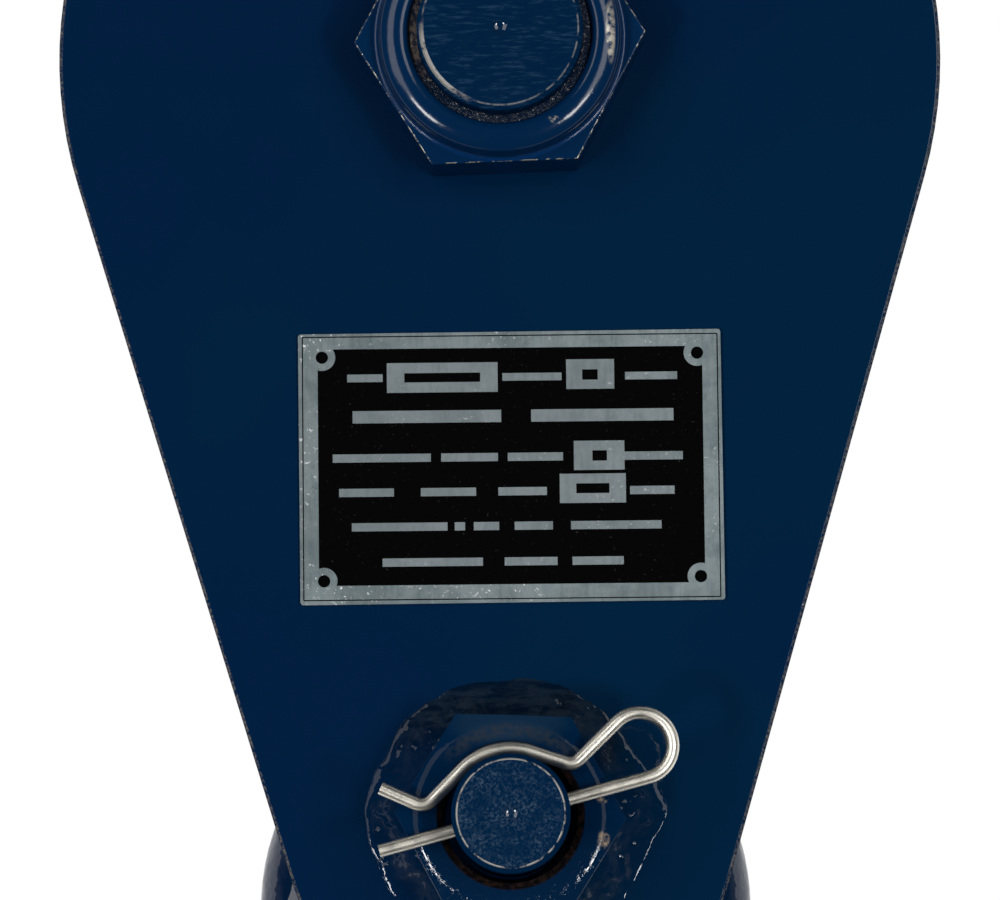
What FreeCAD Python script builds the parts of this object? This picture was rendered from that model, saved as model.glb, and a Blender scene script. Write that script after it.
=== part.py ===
import FreeCAD, Part
import math
import os

# Snatch block for wire rope, lying on its back as it would on a bench.
#
# Two teardrop side plates carry a grooved sheave on a bushed centre pin. The head pin joins
# the narrow ends of the plates and carries the bow of a shackle. A hairpin clip keeps the
# head pin in. The rear plate hooks over the head pin from one side, so it swings open round
# the centre pin and lets a rope in from the side.
#
# All sizes are in millimetres. The origin is the middle of the sheave on the axis of the
# centre pin. +Z points out of the front plate, +Y points away from the head pin.

# Side plates
plate_thickness = 8.0
plate_gap = 46.0
wide_end_radius = 86.2
wide_end_drop = 1.0
head_end_radius = 43.7
pin_spacing = 149.7
plate_edge_round = 0.8

# Sheave and the rope that it carries
rope_diameter = 19.0
groove_clearance = 0.8
groove_depth = 16.2
groove_flare_deg = 15.0
sheave_diameter = 152.4
rim_width = 38.0
rim_edge_round = 1.5
hub_diameter = 68.0
web_thickness = 18.0
web_outer_diameter = 102.0
web_round = 4.0

# Bushing, thrust washers and the washer under the pin's head
bushing_wall = 4.75
running_clearance = 0.06
axial_clearance = 0.2
thrust_washer_thickness = 2.0
thrust_washer_diameter = 64.0
washer_bore_clearance = 0.3
head_washer_thickness = 3.0
head_washer_band = 10.6

# Centre pin, a large turned bolt with a grease passage
centre_pin_diameter = 38.1
centre_thread_diameter = 31.75
centre_thread_clearance = 0.25
centre_pin_reach = 24.0
centre_end_chamfer = 0.75
centre_head_across_flats = 47.6
centre_head_height = 15.8
centre_head_flat_margin = 0.3
centre_head_chamfer_deg = 30.0
grease_recess_diameter = 16.0
grease_recess_depth = 11.0
grease_passage_diameter = 6.0
grease_outlet_diameter = 4.0

# Grease fitting in the head of the centre pin
fitting_body_diameter = 8.6
fitting_body_height = 3.4
fitting_neck_diameter = 4.6
fitting_neck_height = 1.6
fitting_nose_diameter = 6.4
fitting_nose_height = 3.2
fitting_nose_shoulder = 0.8
fitting_tip_height = 1.2
fitting_tip_radius = 1.4
fitting_stem_length = 6.0

# Lock nut with a plastic ring under its rolled collar
nut_across_flats = 48.7
nut_hex_height = 14.5
nut_turn_deg = 1.5
nut_edge_round = 0.3
nut_thread_clearance = 0.05
collar_radius = 23.5
collar_height = 5.2
collar_foot_round = 0.9
collar_crest_radius = 20.7
collar_lip_radius = 17.6
collar_lip_thickness = 1.3
collar_lip_edge = 0.4
collar_swell = 0.72
collar_crown_drop = 0.12
insert_radius = 18.8
insert_thickness = 3.0

# Boss on the front plate, a hexagon welded all round, and the thinner one on the rear plate
boss_across_flats = 38.0
boss_height = 19.0
boss_turn_deg = -2.5
boss_bore_diameter = 25.4
boss_bore_chamfer = 1.3
boss_face_radius = 17.6
boss_chamfer_deg = 27.0
boss_face_round = 4.0
boss_edge_round = 0.3
rear_boss_height = 12.0
weld_leg = 7.0
weld_top_round = 5.6

# Head pin
head_pin_diameter = 22.2
head_pin_reach = 34.0
head_pin_end_chamfer = 1.0
head_pin_flange_diameter = 36.0
head_pin_flange_round = 1.2
flange_clearance = 0.25
slot_clearance = 0.4
centre_mark_radius = 1.6
centre_mark_bowl = 2.9

# Hairpin clip, drawn on a line through the head pin
wire_diameter = 2.5
clip_hole_clearance = 0.25
clip_height = 21.0
clip_turn_deg = 14.5
clip_leg_end = -25.6
clip_eye_centre_along = 26.9
clip_eye_radius = 6.2
clip_hump_clearance = 0.2
clip_tip = (-22.3, 11.35)
clip_left_dip = (-14.9, 9.0)
clip_left_dip_radius = 2.8
clip_right_dip = (13.9, 8.75)
clip_right_dip_radius = 2.4

# Rating plate on the front plate
rating_width = 82.0
rating_height = 52.7
rating_thickness = 0.8
rating_place = (1.05, -81.85)
rating_corner_radius = 0.6
rating_hole_radius = 1.2
rating_hole_inset = 4.6

# Shackle, with its bow round the head pin
shackle_bar_diameter = 20.2
bow_inner_radius = 28.4
shackle_lean_deg = -3.7
shackle_inside_length = 84.0
jaw_width = 36.6
ear_radius = 25.5
ear_round = 3.0
ear_seat_margin = 1.5
shackle_pin_diameter = 25.4
shackle_pin_clearance = 0.4
bow_seat_clearance = 0.3
shackle_pin_tail = 4.0
shackle_pin_tail_chamfer = 1.5
shackle_collar_diameter = 36.0
shackle_collar_thickness = 6.0
shackle_eye_radius = 17.0
shackle_eye_hole_radius = 7.0
shackle_eye_thickness = 12.0
shackle_eye_round = 2.5
shackle_neck_diameter = 22.0
shackle_neck_length = 5.0

# Places that follow from the sizes above
plate_inner = plate_gap / 2
plate_outer = plate_inner + plate_thickness
head_y = -pin_spacing
washer_outer_z = plate_inner - axial_clearance
washer_inner_z = washer_outer_z - thrust_washer_thickness
hub_half_width = washer_inner_z - axial_clearance
head_washer_top = -plate_outer - axial_clearance
head_washer_bottom = head_washer_top - head_washer_thickness
rest_z = head_washer_bottom - centre_head_height
boss_top = plate_outer + boss_height
clip_z = plate_outer + clip_height
centre_pin_radius = centre_pin_diameter / 2
centre_thread_radius = centre_thread_diameter / 2
head_pin_radius = head_pin_diameter / 2
wire_radius = wire_diameter / 2
shackle_bar_radius = shackle_bar_diameter / 2
shackle_pin_radius = shackle_pin_diameter / 2
bow_centre_y = head_y - (bow_inner_radius - head_pin_radius - bow_seat_clearance)
shackle_pin_y = bow_centre_y + bow_inner_radius - shackle_inside_length - shackle_pin_radius
ear_middle_x = jaw_width / 2 + shackle_bar_radius
ear_outer_x = jaw_width / 2 + shackle_bar_diameter

Z_AXIS = FreeCAD.Vector(0, 0, 1)
X_AXIS = FreeCAD.Vector(1, 0, 0)


def cylinder(radius, low, high, x=0.0, y=0.0):
    """Upright cylinder from one height to another."""
    return Part.makeCylinder(radius, high - low, FreeCAD.Vector(x, y, low), Z_AXIS)


def ring(outer_radius, inner_radius, low, high, x=0.0, y=0.0):
    """Upright ring, such as a washer."""
    outside = cylinder(outer_radius, low, high, x, y)
    return outside.cut(cylinder(inner_radius, low - 1, high + 1, x, y))


def turned(profile):
    """Solid turned round the Z axis from (radius, height) points."""
    corners = [FreeCAD.Vector(radius, 0, height) for radius, height in profile]
    outline = Part.makePolygon(corners + corners[:1])
    return Part.Face(outline).revolve(FreeCAD.Vector(0, 0, 0), Z_AXIS, 360)


def hexagon(across_flats, low, high, turn_deg=0.0, y=0.0):
    """Upright hexagonal bar with two corners on the X axis before its turn."""
    corner_radius = across_flats / math.sqrt(3)
    corners = []
    for corner in range(7):
        angle = math.radians(turn_deg + 60 * corner)
        corners.append(FreeCAD.Vector(corner_radius * math.cos(angle),
                                      y + corner_radius * math.sin(angle), low))
    return Part.Face(Part.makePolygon(corners)).extrude(FreeCAD.Vector(0, 0, high - low))


def level_edges(shape, height):
    """Edges of a shape that lie in the level plane at a height."""
    found = []
    for edge in shape.Edges:
        box = edge.BoundBox
        if abs(box.ZMin - height) < 1e-4 and abs(box.ZMax - height) < 1e-4:
            found.append(edge)
    return found


def centre_mark(height, y=0.0):
    """Ball that cuts the shallow mark of a lathe centre in the end of a pin."""
    rise = math.sqrt(centre_mark_bowl ** 2 - centre_mark_radius ** 2)
    return Part.makeSphere(centre_mark_bowl, FreeCAD.Vector(0, y, height + rise))


def tangent_path(start, circles, end):
    """Edges of a path of straight runs that wrap round circles.

    Each circle is (x, y, radius, side), where side is 1 for a turn to the left
    and -1 for a turn to the right. The path lies in the XY plane.
    """
    stops = [(start[0], start[1], 0.0, 1)] + list(circles) + [(end[0], end[1], 0.0, 1)]
    runs = []
    for first, second in zip(stops, stops[1:]):
        step_x = second[0] - first[0]
        step_y = second[1] - first[1]
        offset = second[3] * second[2] - first[3] * first[2]
        heading = math.atan2(step_y, step_x) - math.asin(offset / math.hypot(step_x, step_y))
        left = FreeCAD.Vector(-math.sin(heading), math.cos(heading), 0)
        leave = FreeCAD.Vector(first[0], first[1], 0) - left * (first[3] * first[2])
        reach = FreeCAD.Vector(second[0], second[1], 0) - left * (second[3] * second[2])
        runs.append((leave, reach))
    edges = []
    for place, (leave, reach) in enumerate(runs):
        edges.append(Part.LineSegment(leave, reach).toShape())
        if place < len(circles):
            x, y, radius, side = circles[place]
            edges.append(wrap_arc(FreeCAD.Vector(x, y, 0), radius, side,
                                  reach, runs[place + 1][0]))
    return edges


def wrap_arc(centre, radius, side, reach, leave):
    """Arc round a circle from where the path reaches it to where it leaves."""
    first = math.atan2(reach.y - centre.y, reach.x - centre.x)
    last = math.atan2(leave.y - centre.y, leave.x - centre.x)
    sweep = (side * (last - first)) % (2 * math.pi)
    middle = first + side * sweep / 2
    halfway = centre + FreeCAD.Vector(math.cos(middle), math.sin(middle), 0) * radius
    return Part.Arc(reach, halfway, leave).toShape()


def round_bar(edges, radius):
    """Round bar bent along a path of edges in the XY plane."""
    path = Part.Wire(edges)
    start = edges[0].valueAt(edges[0].FirstParameter)
    heading = edges[0].tangentAt(edges[0].FirstParameter)
    section = Part.Circle(start, heading, radius).toShape()
    return path.makePipe(Part.Face(Part.Wire([section])))


def teardrop_plate(low, high):
    """Side plate blank: a wide round end, straight tapered sides and a narrow round end."""
    wide_y = -wide_end_drop
    taper = math.asin((wide_end_radius - head_end_radius) / (wide_y - head_y))
    across = math.cos(taper)
    down = math.sin(taper)
    wide_right = FreeCAD.Vector(wide_end_radius * across, wide_y - wide_end_radius * down, low)
    wide_left = FreeCAD.Vector(-wide_right.x, wide_right.y, low)
    head_right = FreeCAD.Vector(head_end_radius * across, head_y - head_end_radius * down, low)
    head_left = FreeCAD.Vector(-head_right.x, head_right.y, low)
    top = FreeCAD.Vector(0, wide_y + wide_end_radius, low)
    bottom = FreeCAD.Vector(0, head_y - head_end_radius, low)
    outline = Part.Wire([Part.Arc(wide_right, top, wide_left).toShape(),
                         Part.LineSegment(wide_left, head_left).toShape(),
                         Part.Arc(head_left, bottom, head_right).toShape(),
                         Part.LineSegment(head_right, wide_right).toShape()])
    blank = Part.Face(outline).extrude(FreeCAD.Vector(0, 0, high - low))
    return blank.makeFillet(plate_edge_round, level_edges(blank, low) + level_edges(blank, high))


def head_slot(low, high):
    """Slot in the rear plate that lets it swing off the head pin to the left."""
    half_width = head_pin_radius + slot_clearance
    height = high - low
    foot = FreeCAD.Vector(0, 0, low)
    reach_deg = math.degrees(2 * head_end_radius / pin_spacing)
    outside = Part.makeCylinder(pin_spacing + half_width, height, foot, Z_AXIS, reach_deg)
    inside = Part.makeCylinder(pin_spacing - half_width, height + 2,
                               foot - Z_AXIS, Z_AXIS, 360)
    band = outside.cut(inside)
    band.rotate(FreeCAD.Vector(0, 0, 0), Z_AXIS, -90 - reach_deg)
    return band.fuse(cylinder(half_width, low, high, 0, head_y))


def weld_bead(foot, crest):
    """Rounded fillet weld round a boss, from the plate's face to the crest of the bead."""
    corner_radius = boss_across_flats / math.sqrt(3)
    corners = []
    for corner in range(7):
        angle = math.radians(boss_turn_deg + 60 * corner)
        corners.append(FreeCAD.Vector(corner_radius * math.cos(angle),
                                      head_y + corner_radius * math.sin(angle), foot))
    outline = Part.makePolygon(corners).makeOffset2D(weld_leg, 0, False, False, True)
    bead = Part.Face(outline).extrude(FreeCAD.Vector(0, 0, crest - foot))
    bead = bead.makeFillet(weld_top_round, level_edges(bead, crest))
    return bead.cut(hexagon(boss_across_flats, min(foot, crest) - 1, max(foot, crest) + 1,
                            boss_turn_deg, head_y))


def front_side_plate():
    plate = teardrop_plate(plate_inner, plate_outer)
    pin_hole_radius = centre_thread_radius + centre_thread_clearance
    plate = plate.cut(cylinder(pin_hole_radius, plate_inner - 1, plate_outer + 1))
    return plate.cut(cylinder(boss_bore_diameter / 2, plate_inner - 1, plate_outer + 1,
                              0, head_y))


def rear_side_plate():
    plate = teardrop_plate(-plate_outer, -plate_inner)
    pin_hole_radius = centre_pin_radius + running_clearance
    plate = plate.cut(cylinder(pin_hole_radius, -plate_outer - 1, -plate_inner + 1))
    return plate.cut(head_slot(-plate_outer - 1, -plate_inner + 1))


def head_boss():
    """Hexagonal boss with a turned face, a chamfer on its corners and a bore for the pin."""
    bore_radius = boss_bore_diameter / 2
    slope = math.tan(math.radians(boss_chamfer_deg))
    crown = turned([(0, plate_outer), (boss_face_radius + boss_height / slope, plate_outer),
                    (boss_face_radius, boss_top), (0, boss_top)])
    crown.translate(FreeCAD.Vector(0, head_y, 0))
    boss = hexagon(boss_across_flats, plate_outer, boss_top, boss_turn_deg, head_y)
    boss = boss.common(crown)
    boss = boss.makeFillet(boss_face_round, level_edges(boss, boss_top))
    foot = plate_outer + boss_height / 2
    rims = [edge for edge in boss.Edges
            if edge.BoundBox.ZMin > foot and edge.Curve.TypeId != "Part::GeomCircle"]
    boss = boss.makeFillet(boss_edge_round, rims)
    boss = boss.cut(cylinder(bore_radius, plate_outer - 1, boss_top + 1, 0, head_y))
    mouth = Part.makeCone(bore_radius, bore_radius + boss_bore_chamfer, boss_bore_chamfer,
                          FreeCAD.Vector(0, head_y, boss_top - boss_bore_chamfer), Z_AXIS)
    return boss.cut(mouth)


def boss_weld():
    return weld_bead(plate_outer, plate_outer + weld_leg)


def rear_boss():
    low = -plate_outer - rear_boss_height
    boss = hexagon(boss_across_flats, low, -plate_outer, boss_turn_deg, head_y)
    return boss.cut(head_slot(low - 1, -plate_outer + 1))


def rear_boss_weld():
    low = -plate_outer - weld_leg
    return weld_bead(-plate_outer, low).cut(head_slot(low - 1, -plate_outer + 1))


def sheave():
    """Forged wheel with a rope groove, a thick hub and a thinner web."""
    rim_radius = sheave_diameter / 2
    groove_radius = rope_diameter / 2 + groove_clearance
    groove_centre = rim_radius - groove_depth + groove_radius
    bore_radius = centre_pin_radius + running_clearance + bushing_wall
    hub_radius = hub_diameter / 2
    web_radius = web_outer_diameter / 2
    half_rim = rim_width / 2
    half_web = web_thickness / 2
    blank = turned([(bore_radius, -hub_half_width), (hub_radius, -hub_half_width),
                    (hub_radius, -half_web), (web_radius, -half_web), (web_radius, -half_rim),
                    (rim_radius, -half_rim), (rim_radius, half_rim), (web_radius, half_rim),
                    (web_radius, half_web), (hub_radius, half_web),
                    (hub_radius, hub_half_width), (bore_radius, hub_half_width)])
    corners = []
    for side in (-1, 1):
        for edge in level_edges(blank, side * half_web):
            corners.append(edge)
    blank = blank.makeFillet(web_round, corners)
    rim_edges = []
    for side in (-1, 1):
        for edge in level_edges(blank, side * half_rim):
            if edge.BoundBox.XMax > rim_radius - 1:
                rim_edges.append(edge)
    blank = blank.makeFillet(rim_edge_round, rim_edges)
    flare = math.radians(groove_flare_deg)
    mouth_radius = rim_radius + 1
    touch_radius = groove_centre + groove_radius * math.sin(flare)
    touch_half = groove_radius * math.cos(flare)
    mouth_half = touch_half + (mouth_radius - touch_radius) * math.tan(flare)
    groove = Part.Wire([
        Part.Arc(FreeCAD.Vector(touch_radius, 0, touch_half),
                 FreeCAD.Vector(groove_centre - groove_radius, 0, 0),
                 FreeCAD.Vector(touch_radius, 0, -touch_half)).toShape(),
        Part.LineSegment(FreeCAD.Vector(touch_radius, 0, -touch_half),
                         FreeCAD.Vector(mouth_radius, 0, -mouth_half)).toShape(),
        Part.LineSegment(FreeCAD.Vector(mouth_radius, 0, -mouth_half),
                         FreeCAD.Vector(mouth_radius, 0, mouth_half)).toShape(),
        Part.LineSegment(FreeCAD.Vector(mouth_radius, 0, mouth_half),
                         FreeCAD.Vector(touch_radius, 0, touch_half)).toShape()])
    return blank.cut(Part.Face(groove).revolve(FreeCAD.Vector(0, 0, 0), Z_AXIS, 360))


def bronze_bushing():
    inner_radius = centre_pin_radius + running_clearance
    return ring(inner_radius + bushing_wall, inner_radius, -hub_half_width, hub_half_width)


def thrust_washer(side):
    """Washer between the hub and a plate, on the front for side 1 and the rear for side -1."""
    low = min(side * washer_inner_z, side * washer_outer_z)
    return ring(thrust_washer_diameter / 2, centre_pin_radius + washer_bore_clearance,
                low, low + thrust_washer_thickness)


def head_washer():
    bore_radius = centre_pin_radius + washer_bore_clearance
    return ring(bore_radius + head_washer_band, bore_radius, head_washer_bottom, head_washer_top)


def centre_pin():
    """Turned pin with a hexagonal head, a shoulder for the front plate and a thread."""
    pin_end = plate_outer + centre_pin_reach
    end_radius = centre_thread_radius - centre_end_chamfer
    shank = turned([(0, head_washer_bottom), (centre_pin_radius, head_washer_bottom),
                    (centre_pin_radius, plate_inner), (centre_thread_radius, plate_inner),
                    (centre_thread_radius, pin_end - centre_end_chamfer),
                    (end_radius, pin_end), (0, pin_end)])
    head = hexagon(centre_head_across_flats, rest_z, head_washer_bottom)
    crown_radius = centre_head_across_flats / 2 - centre_head_flat_margin
    slope = math.tan(math.radians(centre_head_chamfer_deg))
    crown = turned([(0, rest_z), (crown_radius, rest_z),
                    (crown_radius + centre_head_height / slope, head_washer_bottom),
                    (0, head_washer_bottom)])
    pin = shank.fuse(head.common(crown))
    recess_top = rest_z + grease_recess_depth
    pin = pin.cut(cylinder(grease_recess_diameter / 2, rest_z - 1, recess_top))
    pin = pin.cut(cylinder(grease_passage_diameter / 2, recess_top - 1, 0))
    outlet = Part.makeCylinder(grease_outlet_diameter / 2, centre_pin_radius + 1,
                               FreeCAD.Vector(0, 0, -grease_outlet_diameter),
                               FreeCAD.Vector(0, 1, 0))
    return pin.cut(outlet).cut(centre_mark(pin_end))


def grease_fitting():
    """Turned fitting that sits in the recess of the centre pin, below its face."""
    seat = rest_z + grease_recess_depth
    body = seat - fitting_body_height
    neck = body - fitting_neck_height
    nose = neck - fitting_nose_height
    return turned([(0, seat + fitting_stem_length),
                   (grease_passage_diameter / 2, seat + fitting_stem_length),
                   (grease_passage_diameter / 2, seat), (fitting_body_diameter / 2, seat),
                   (fitting_body_diameter / 2, body), (fitting_neck_diameter / 2, body),
                   (fitting_neck_diameter / 2, neck),
                   (fitting_nose_diameter / 2, neck - fitting_nose_shoulder),
                   (fitting_nose_diameter / 2, nose + fitting_tip_height),
                   (fitting_tip_radius, nose), (0, nose)])


def centre_lock_nut():
    """Hexagon with a domed collar that is rolled over a plastic ring."""
    bore_radius = centre_thread_radius + nut_thread_clearance
    hex_top = plate_outer + nut_hex_height
    collar_top = hex_top + collar_height
    pocket_top = collar_top - collar_lip_thickness
    crest = FreeCAD.Vector(collar_crest_radius, 0, collar_top)
    rim = FreeCAD.Vector(collar_radius, 0, hex_top)
    wall_radius = collar_radius - collar_foot_round
    foot = FreeCAD.Vector(wall_radius, 0, hex_top + collar_foot_round)
    foot_bend = collar_foot_round * (1 - math.sqrt(0.5))
    foot_hollow = FreeCAD.Vector(wall_radius + foot_bend, 0, hex_top + foot_bend)
    swell_radius = collar_crest_radius + collar_swell * (wall_radius - collar_crest_radius)
    swell = FreeCAD.Vector(swell_radius, 0, hex_top + collar_swell * collar_height)
    lip = FreeCAD.Vector(collar_lip_radius, 0, pocket_top + collar_lip_edge)
    lip_swell = FreeCAD.Vector((collar_crest_radius + collar_lip_radius) / 2, 0,
                               collar_top - collar_crown_drop)
    points = [FreeCAD.Vector(collar_lip_radius, 0, pocket_top),
              FreeCAD.Vector(insert_radius, 0, pocket_top),
              FreeCAD.Vector(insert_radius, 0, pocket_top - insert_thickness),
              FreeCAD.Vector(bore_radius, 0, pocket_top - insert_thickness),
              FreeCAD.Vector(bore_radius, 0, hex_top - 1),
              FreeCAD.Vector(collar_radius, 0, hex_top - 1), rim]
    outline = [Part.Arc(rim, foot_hollow, foot).toShape(), Part.Arc(foot, swell, crest).toShape(),
               Part.Arc(crest, lip_swell, lip).toShape(),
               Part.LineSegment(lip, points[0]).toShape()]
    for first, second in zip(points, points[1:]):
        outline.append(Part.LineSegment(first, second).toShape())
    collar = Part.Face(Part.Wire(outline)).revolve(FreeCAD.Vector(0, 0, 0), Z_AXIS, 360)
    body = hexagon(nut_across_flats, plate_outer, hex_top, nut_turn_deg)
    rims = [edge for edge in body.Edges if edge.BoundBox.ZMax > plate_outer + 1]
    body = body.makeFillet(nut_edge_round, rims)
    body = body.cut(cylinder(bore_radius, plate_outer - 1, hex_top + 1))
    return body.fuse(collar).removeSplitter()


def lock_nut_insert():
    """Plastic ring held by the collar of the lock nut."""
    top = plate_outer + nut_hex_height + collar_height - collar_lip_thickness
    return ring(insert_radius, centre_thread_radius + nut_thread_clearance,
                top - insert_thickness, top)


def head_pin():
    """Turned pin with a flange behind the rear boss and a cross hole for the clip."""
    flange_top = -plate_outer - rear_boss_height - flange_clearance
    pin_end = plate_outer + head_pin_reach
    flange = cylinder(head_pin_flange_diameter / 2, rest_z, flange_top)
    flange = flange.makeFillet(head_pin_flange_round, level_edges(flange, rest_z))
    shank = turned([(0, rest_z + 1), (head_pin_radius, rest_z + 1),
                    (head_pin_radius, pin_end - head_pin_end_chamfer),
                    (head_pin_radius - head_pin_end_chamfer, pin_end), (0, pin_end)])
    pin = flange.fuse(shank).removeSplitter()
    pin.translate(FreeCAD.Vector(0, head_y, 0))
    turn = math.radians(clip_turn_deg)
    along = FreeCAD.Vector(math.cos(turn), math.sin(turn), 0)
    hole_start = FreeCAD.Vector(0, head_y, clip_z) - along * head_pin_diameter
    hole = Part.makeCylinder(wire_radius + clip_hole_clearance, 2 * head_pin_diameter,
                             hole_start, along)
    return pin.cut(hole).cut(centre_mark(pin_end, head_y))


def hairpin_clip():
    """Bent wire clip: one straight leg through the head pin and one that hugs its side."""
    hump_radius = head_pin_radius + wire_radius + clip_hump_clearance
    circles = [(clip_left_dip[0], clip_left_dip[1], clip_left_dip_radius, 1),
               (0.0, 0.0, hump_radius, -1),
               (clip_right_dip[0], clip_right_dip[1], clip_right_dip_radius, 1),
               (clip_eye_centre_along, clip_eye_radius, clip_eye_radius, -1)]
    clip = round_bar(tangent_path(clip_tip, circles, (clip_leg_end, 0.0)), wire_radius)
    clip.rotate(FreeCAD.Vector(0, 0, 0), Z_AXIS, clip_turn_deg)
    clip.translate(FreeCAD.Vector(0, head_y, clip_z))
    return clip


def rating_plate():
    """Thin metal plate with a small hole in each corner."""
    middle_x, middle_y = rating_place
    low = FreeCAD.Vector(middle_x - rating_width / 2, middle_y - rating_height / 2, plate_outer)
    plate = Part.makeBox(rating_width, rating_height, rating_thickness, low)
    corners = [edge for edge in plate.Edges if edge.BoundBox.ZLength > rating_thickness / 2]
    plate = plate.makeFillet(rating_corner_radius, corners)
    for side_x in (-1, 1):
        for side_y in (-1, 1):
            hole_x = middle_x + side_x * (rating_width / 2 - rating_hole_inset)
            hole_y = middle_y + side_y * (rating_height / 2 - rating_hole_inset)
            plate = plate.cut(cylinder(rating_hole_radius, plate_outer - 1,
                                       plate_outer + rating_thickness + 1, hole_x, hole_y))
    return plate


def leaned(piece):
    """Piece of the shackle, turned a little round the head pin as it lies at rest."""
    piece.rotate(FreeCAD.Vector(0, head_y, 0), Z_AXIS, shackle_lean_deg)
    return piece


def shackle_bow():
    """Forged bow of round bar with a bored ear at each end."""
    bend_radius = bow_inner_radius + shackle_bar_radius
    path = tangent_path((-ear_middle_x, shackle_pin_y), [(0.0, bow_centre_y, bend_radius, -1)],
                        (ear_middle_x, shackle_pin_y))
    bow = round_bar(path, shackle_bar_radius)
    for side in (-1, 1):
        low_x = min(side * jaw_width / 2, side * ear_outer_x)
        ear = Part.makeCylinder(ear_radius, shackle_bar_diameter,
                                FreeCAD.Vector(low_x, shackle_pin_y, 0), X_AXIS)
        rims = [edge for edge in ear.Edges if edge.BoundBox.XLength < 1e-4]
        bow = bow.fuse(ear.makeFillet(ear_round, rims))
        seat = Part.makeCylinder(shackle_collar_diameter / 2 + ear_seat_margin,
                                 shackle_bar_diameter,
                                 FreeCAD.Vector(side * ear_outer_x, shackle_pin_y, 0),
                                 X_AXIS * side)
        bow = bow.cut(seat)
    bore = Part.makeCylinder(shackle_pin_radius + shackle_pin_clearance, 4 * ear_outer_x,
                             FreeCAD.Vector(-2 * ear_outer_x, shackle_pin_y, 0), X_AXIS)
    return leaned(bow.cut(bore))


def shackle_pin():
    """Screw pin of the shackle, with a collar and a flat eye to turn it by."""
    collar_x = ear_outer_x + bow_seat_clearance
    neck_x = collar_x + shackle_collar_thickness
    eye_x = neck_x + shackle_neck_length + math.sqrt(
        shackle_eye_radius ** 2 - (shackle_neck_diameter / 2) ** 2)
    tail_x = -ear_outer_x - shackle_pin_tail
    shank = Part.makeCylinder(shackle_pin_radius, collar_x - tail_x,
                              FreeCAD.Vector(tail_x, shackle_pin_y, 0), X_AXIS)
    tail = [edge for edge in shank.Edges if edge.BoundBox.XMax < tail_x + 1]
    shank = shank.makeChamfer(shackle_pin_tail_chamfer, tail)
    collar = Part.makeCylinder(shackle_collar_diameter / 2, shackle_collar_thickness,
                               FreeCAD.Vector(collar_x, shackle_pin_y, 0), X_AXIS)
    neck = Part.makeCylinder(shackle_neck_diameter / 2, eye_x - neck_x,
                             FreeCAD.Vector(neck_x, shackle_pin_y, 0), X_AXIS)
    half_eye = shackle_eye_thickness / 2
    eye = cylinder(shackle_eye_radius, -half_eye, half_eye, eye_x, shackle_pin_y)
    eye = eye.makeFillet(shackle_eye_round,
                         level_edges(eye, -half_eye) + level_edges(eye, half_eye))
    slab = Part.makeBox(4 * shackle_eye_radius, 4 * shackle_eye_radius, shackle_eye_thickness,
                        FreeCAD.Vector(neck_x, shackle_pin_y - 2 * shackle_eye_radius, -half_eye))
    pin = shank.fuse(collar).fuse(neck.common(slab)).fuse(eye)
    return leaned(pin.cut(cylinder(shackle_eye_hole_radius, -shackle_eye_radius,
                                   shackle_eye_radius, eye_x, shackle_pin_y)))


def main():
    pieces = {
        "front_side_plate": front_side_plate(),
        "rear_side_plate": rear_side_plate(),
        "head_boss": head_boss(),
        "boss_weld": boss_weld(),
        "rear_boss": rear_boss(),
        "rear_boss_weld": rear_boss_weld(),
        "sheave": sheave(),
        "bronze_bushing": bronze_bushing(),
        "front_thrust_washer": thrust_washer(1),
        "rear_thrust_washer": thrust_washer(-1),
        "head_washer": head_washer(),
        "centre_pin": centre_pin(),
        "grease_fitting": grease_fitting(),
        "centre_lock_nut": centre_lock_nut(),
        "lock_nut_insert": lock_nut_insert(),
        "head_pin": head_pin(),
        "hairpin_clip": hairpin_clip(),
        "rating_plate": rating_plate(),
        "shackle_bow": shackle_bow(),
        "shackle_pin": shackle_pin(),
    }
    os.makedirs("parts", exist_ok=True)
    for name, shape in pieces.items():
        shape.exportStep(os.path.join("parts", name + ".step"))
        box = shape.BoundBox
        print(name, "valid", shape.isValid(), "solids", len(shape.Solids),
              "volume", round(shape.Volume),
              "x", round(box.XMin, 1), round(box.XMax, 1),
              "y", round(box.YMin, 1), round(box.YMax, 1),
              "z", round(box.ZMin, 1), round(box.ZMax, 1))


main()
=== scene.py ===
# %% [markdown]
# # A snatch block in navy paint
#
# The block lies on its back: two teardrop plates, a sheave between them, a big lock nut at the
# wide end and a welded boss with a pin and a hairpin clip at the narrow end. Its exact shapes
# come from a imported CAD model. This lesson gives them their finishes, and models by hand what
# a CAD solid leaves out: the lumpy weld round the boss and the print on the rating plate.
#
# The first cell loads the imported model. What is added later has to stay inside it.

# %% Load the imported model
import math

import bmesh
import bpy
from mathutils import Matrix, Vector, noise
from mathutils.geometry import interpolate_bezier


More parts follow.
